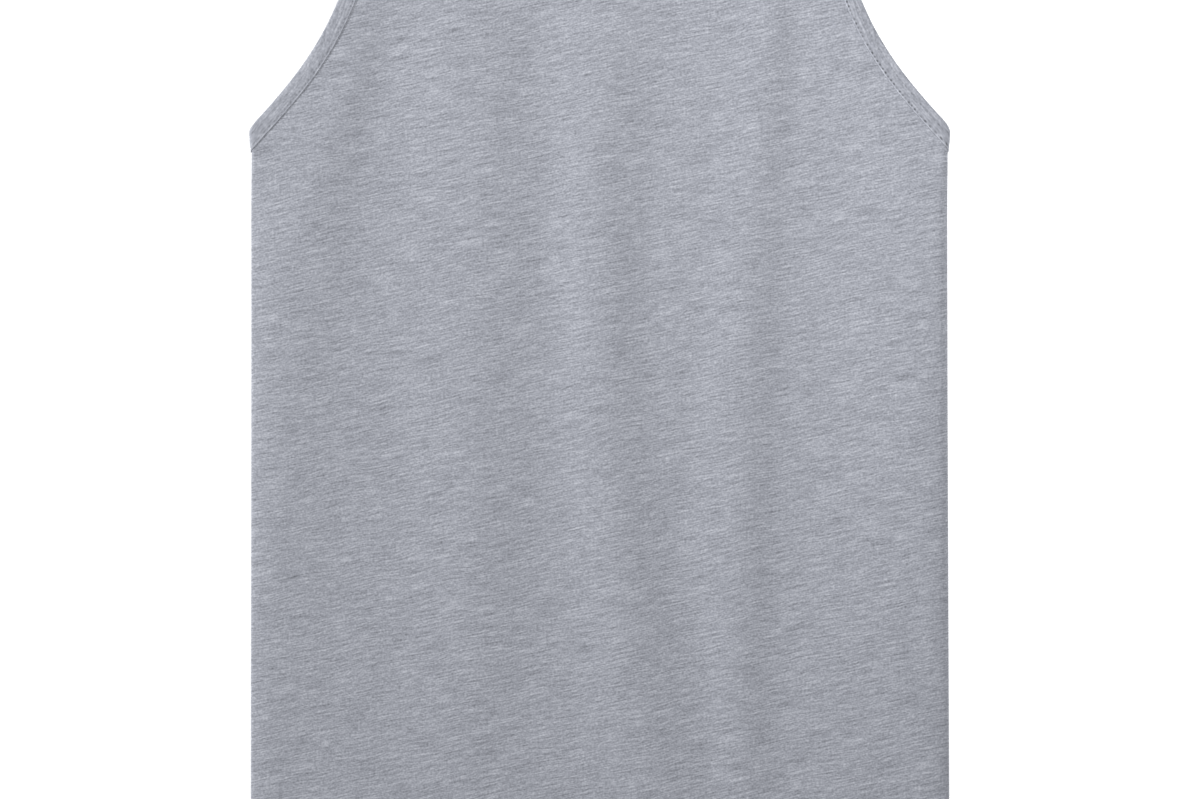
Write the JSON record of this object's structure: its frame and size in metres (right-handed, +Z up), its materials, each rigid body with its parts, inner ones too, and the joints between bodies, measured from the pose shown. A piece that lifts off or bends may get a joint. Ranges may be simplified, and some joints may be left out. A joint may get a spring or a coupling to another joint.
{
  "type": "tank top",
  "caption": "Plain sleeveless knitted top with bound neck and armholes, laid flat with its front up and soft folds running down the body.",
  "frame": {"origin": "middle of the ground the laid garment covers, on the surface it lies on", "axes": "+Y runs from the hem to the neck, +Z is up through the cloth from back to front, +X is to the right seen from above"},
  "size_m": [0.4616, 0.7112, 0.0096],
  "materials": {
    "jersey": "matte heather grey single jersey",
    "binding": "matte heather grey jersey binding"
  },
  "bodies": {
    "root": {"front_panel": "jersey", "back_panel": "jersey", "neck_binding": "binding", "left_armhole_binding": "binding", "right_armhole_binding": "binding"}
  },
  "joints": []
}
